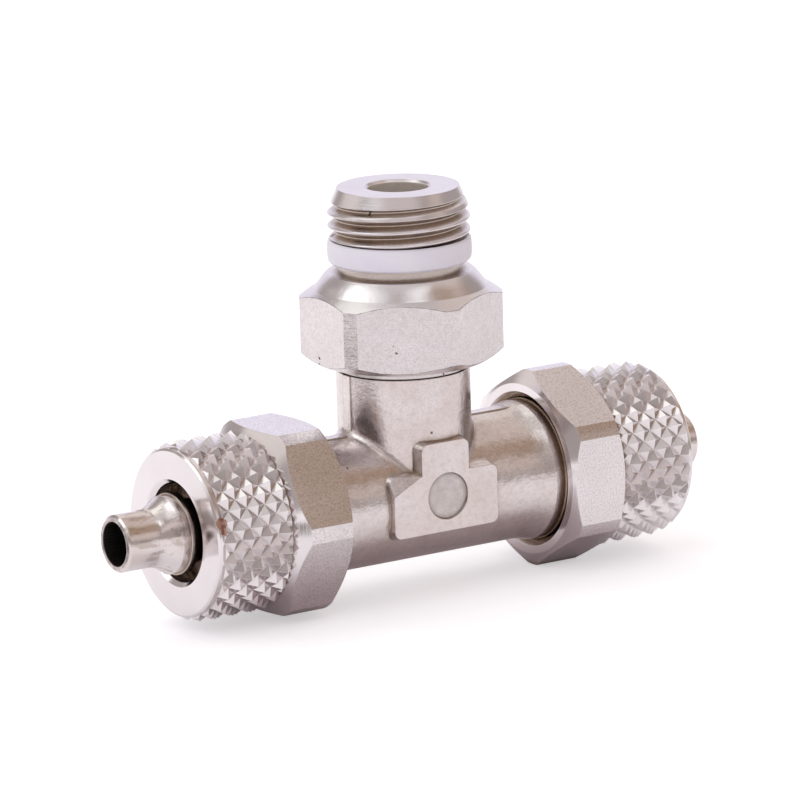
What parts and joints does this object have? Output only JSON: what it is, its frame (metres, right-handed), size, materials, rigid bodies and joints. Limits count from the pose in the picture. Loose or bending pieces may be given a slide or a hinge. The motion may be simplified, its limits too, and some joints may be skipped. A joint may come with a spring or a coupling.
{
  "type": "push-on swivel branch tee fitting",
  "caption": "Swivel branch tee of nickel-plated brass: male threaded stud with captive seal ring, and a run with barbed nipples under knurled hexagon coupling nuts for plastic tube.",
  "frame": {"origin": "on the axis of the male stud thread, in the plane where the thread begins above the seal ring", "axes": "+Z along the male thread, out of the fitting; +X along the run, towards the right-hand tube nipple"},
  "size_m": [0.0466, 0.0138, 0.0282],
  "materials": {
    "forged_body": "nickel plate over a satin forging",
    "nut_metal": "bright nickel plate on turned faces, fine grain on the flats",
    "stud_metal": "bright nickel plate on turned faces",
    "white_seal": "milky smooth",
    "black_rubber": "satin",
    "spring_wire": "drawn wire"
  },
  "bodies": {
    "stud": {"swivel_stud": "stud_metal", "thread_seal_ring": "white_seal", "swivel_o_ring": "black_rubber"},
    "tee": {"tee_body": "forged_body", "retaining_ring": "spring_wire"},
    "left_nut": {"left_nut": "nut_metal"},
    "right_nut": {"right_nut": "nut_metal"}
  },
  "joints": [
    {"name": "branch_swivel", "type": "hinge", "parent": "stud", "child": "tee", "pos_m": [0, 0, -0.012], "axis": [0, 0, 1], "continuous": true},
    {"name": "left_nut_travel", "type": "slide", "parent": "tee", "child": "left_nut", "axis": [-1, 0, 0], "range_m": [-0.0006, 0.0055]},
    {"name": "right_nut_travel", "type": "slide", "parent": "tee", "child": "right_nut", "axis": [1, 0, 0], "range_m": [-0.002, 0.004]}
  ]
}
